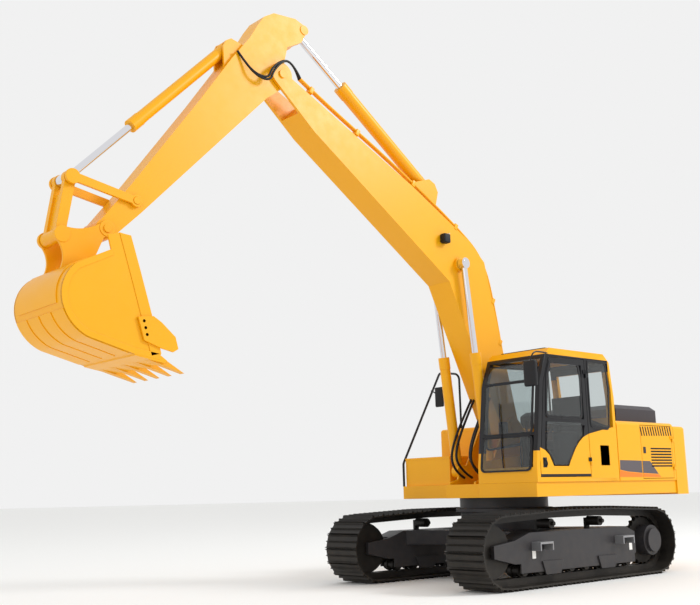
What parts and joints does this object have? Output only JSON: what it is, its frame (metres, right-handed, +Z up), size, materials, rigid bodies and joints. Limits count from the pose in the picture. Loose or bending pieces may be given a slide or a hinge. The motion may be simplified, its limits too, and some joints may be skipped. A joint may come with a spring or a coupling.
{
  "type": "crawler excavator",
  "caption": "Tracked hydraulic excavator with a swinging cab and house, a bent boom, an arm and a backhoe bucket worked by cylinders.",
  "frame": {"origin": "on the ground, under the middle of the machine's whole length and width", "axes": "+X forward along the boom, +Y to the left (cab side), +Z up"},
  "size_m": [9.8995, 2.8, 7.0535],
  "materials": {
    "track_steel": "dusty bare steel shoes and links",
    "frame_grey": "dark grey enamel",
    "yellow_enamel": "yellow machine enamel",
    "black_enamel": "black enamel",
    "chrome_rod": "hard chrome",
    "cast_steel": "cast steel, worn bright",
    "seat_fabric": "woven cloth over foam"
  },
  "bodies": {
    "undercarriage": {"track_left": "track_steel", "track_right": "track_steel", "track_frame_left": "frame_grey", "track_frame_right": "frame_grey", "idlers": "track_steel", "sprockets": "track_steel", "final_drives": "frame_grey", "track_rollers": "track_steel", "carrier_rollers": "track_steel", "track_steps": "frame_grey", "chain_guards": "frame_grey", "car_body": "frame_grey", "tow_lug": "frame_grey", "swing_bearing": "frame_grey"},
    "upper": {"revolving_frame": "black_enamel", "counterweight": "yellow_enamel", "left_house": "yellow_enamel", "right_house": "yellow_enamel", "engine_block": "black_enamel", "cooler": "black_enamel", "pump": "black_enamel", "tank": "yellow_enamel", "tool_box": "yellow_enamel", "handrails": "yellow_enamel", "cab": "yellow_enamel", "operator_seat": "seat_fabric"},
    "cab_door": {"cab_door": "yellow_enamel"},
    "engine_hood": {"engine_hood": "black_enamel"},
    "service_door_left": {"service_door_left": "yellow_enamel"},
    "service_door_right": {"service_door_right": "yellow_enamel"},
    "tool_box_lid": {"tool_box_lid": "yellow_enamel"},
    "boom": {"boom": "yellow_enamel"},
    "boom_cylinders": {"boom_cylinders": "yellow_enamel"},
    "boom_rods": {"boom_rods": "chrome_rod"},
    "arm": {"arm": "yellow_enamel"},
    "arm_cylinder": {"arm_cylinder": "yellow_enamel"},
    "arm_rod": {"arm_rod": "chrome_rod"},
    "bucket": {"bucket": "yellow_enamel", "bucket_teeth": "cast_steel", "side_cutters": "yellow_enamel"},
    "side_links": {"side_links": "yellow_enamel"},
    "bucket_link": {"bucket_link": "yellow_enamel"},
    "bucket_cylinder": {"bucket_cylinder": "yellow_enamel"},
    "bucket_rod": {"bucket_rod": "chrome_rod"}
  },
  "joints": [
    {"name": "swing", "type": "hinge", "parent": "undercarriage", "child": "upper", "pos_m": [-1.98867, 0, 1.09], "axis": [0, 0, 1], "continuous": true},
    {"name": "boom_lift", "type": "hinge", "parent": "upper", "child": "boom", "pos_m": [-1.98867, 0, 2.05], "axis": [0, -1, 0], "range_deg": [-78, 15]},
    {"name": "boom_cylinder_swing", "type": "hinge", "parent": "upper", "child": "boom_cylinders", "pos_m": [-1.38867, 0, 1.45], "axis": [0, -1, 0], "range_deg": [-80, 16]},
    {"name": "boom_rod_slide", "type": "slide", "parent": "boom_cylinders", "child": "boom_rods", "axis": [0.1213, 0, 0.9926], "range_m": [-1.08, 0.22]},
    {"name": "arm_crowd", "type": "hinge", "parent": "boom", "child": "arm", "pos_m": [2.00809, 0, 6.23236], "axis": [0, 1, 0], "range_deg": [-58, 57]},
    {"name": "arm_cylinder_swing", "type": "hinge", "parent": "boom", "child": "arm_cylinder", "pos_m": [-0.64103, 0, 5.31148], "axis": [0, 1, 0], "range_deg": [-4, 4]},
    {"name": "arm_rod_slide", "type": "slide", "parent": "arm_cylinder", "child": "arm_rod", "axis": [0.8107, 0, 0.5854], "range_m": [-0.76, 0.74]},
    {"name": "bucket_curl", "type": "hinge", "parent": "arm", "child": "bucket", "pos_m": [4.30872, 0, 3.91562], "axis": [0, 1, 0], "range_deg": [-105, 70]},
    {"name": "side_link_swing", "type": "hinge", "parent": "arm", "child": "side_links", "pos_m": [3.96985, 0, 4.27389], "axis": [0, 1, 0], "range_deg": [-61, 41]},
    {"name": "bucket_link_swing", "type": "hinge", "parent": "side_links", "child": "bucket_link", "pos_m": [4.6991, 0, 4.40531], "axis": [0, 1, 0], "range_deg": [-26, 39]},
    {"name": "bucket_cylinder_swing", "type": "hinge", "parent": "arm", "child": "bucket_cylinder", "pos_m": [2.7194, 0, 6.42434], "axis": [0, 1, 0], "range_deg": [-7, 5]},
    {"name": "bucket_rod_slide", "type": "slide", "parent": "bucket_cylinder", "child": "bucket_rod", "axis": [0.7001, 0, -0.714], "range_m": [-0.65, 0.44]},
    {"name": "cab_door_hinge", "type": "hinge", "parent": "upper", "child": "cab_door", "pos_m": [-2.17867, 1.367, 1.9], "axis": [0, 0, 1], "range_deg": [0, 165]},
    {"name": "service_door_left_hinge", "type": "hinge", "parent": "upper", "child": "service_door_left", "pos_m": [-4.21867, 1.367, 1.7], "axis": [0, 0, 1], "range_deg": [0, 110]},
    {"name": "service_door_right_hinge", "type": "hinge", "parent": "upper", "child": "service_door_right", "pos_m": [-4.21867, -1.367, 1.7], "axis": [0, 0, -1], "range_deg": [0, 110]},
    {"name": "hood_hinge", "type": "hinge", "parent": "upper", "child": "engine_hood", "pos_m": [-3.21667, 0, 2.102], "axis": [0, 1, 0], "range_deg": [0, 55]},
    {"name": "tool_box_lid_hinge", "type": "hinge", "parent": "upper", "child": "tool_box_lid", "pos_m": [-2.16267, -0.9, 1.678], "axis": [0, -1, 0], "range_deg": [0, 75]}
  ],
  "couplings": [
    {"joint": "boom_cylinder_swing", "follows": "boom_lift", "ratio": 0.96},
    {"joint": "boom_rod_slide", "follows": "boom_lift", "m_per_rad": 0.739},
    {"joint": "arm_cylinder_swing", "follows": "arm_crowd", "ratio": 0.03},
    {"joint": "arm_rod_slide", "follows": "arm_crowd", "m_per_rad": 0.722},
    {"joint": "side_link_swing", "follows": "bucket_curl", "ratio": 0.57},
    {"joint": "bucket_link_swing", "follows": "bucket_curl", "ratio": -0.36},
    {"joint": "bucket_cylinder_swing", "follows": "bucket_curl", "ratio": 0.06},
    {"joint": "bucket_rod_slide", "follows": "bucket_curl", "m_per_rad": 0.344}
  ]
}
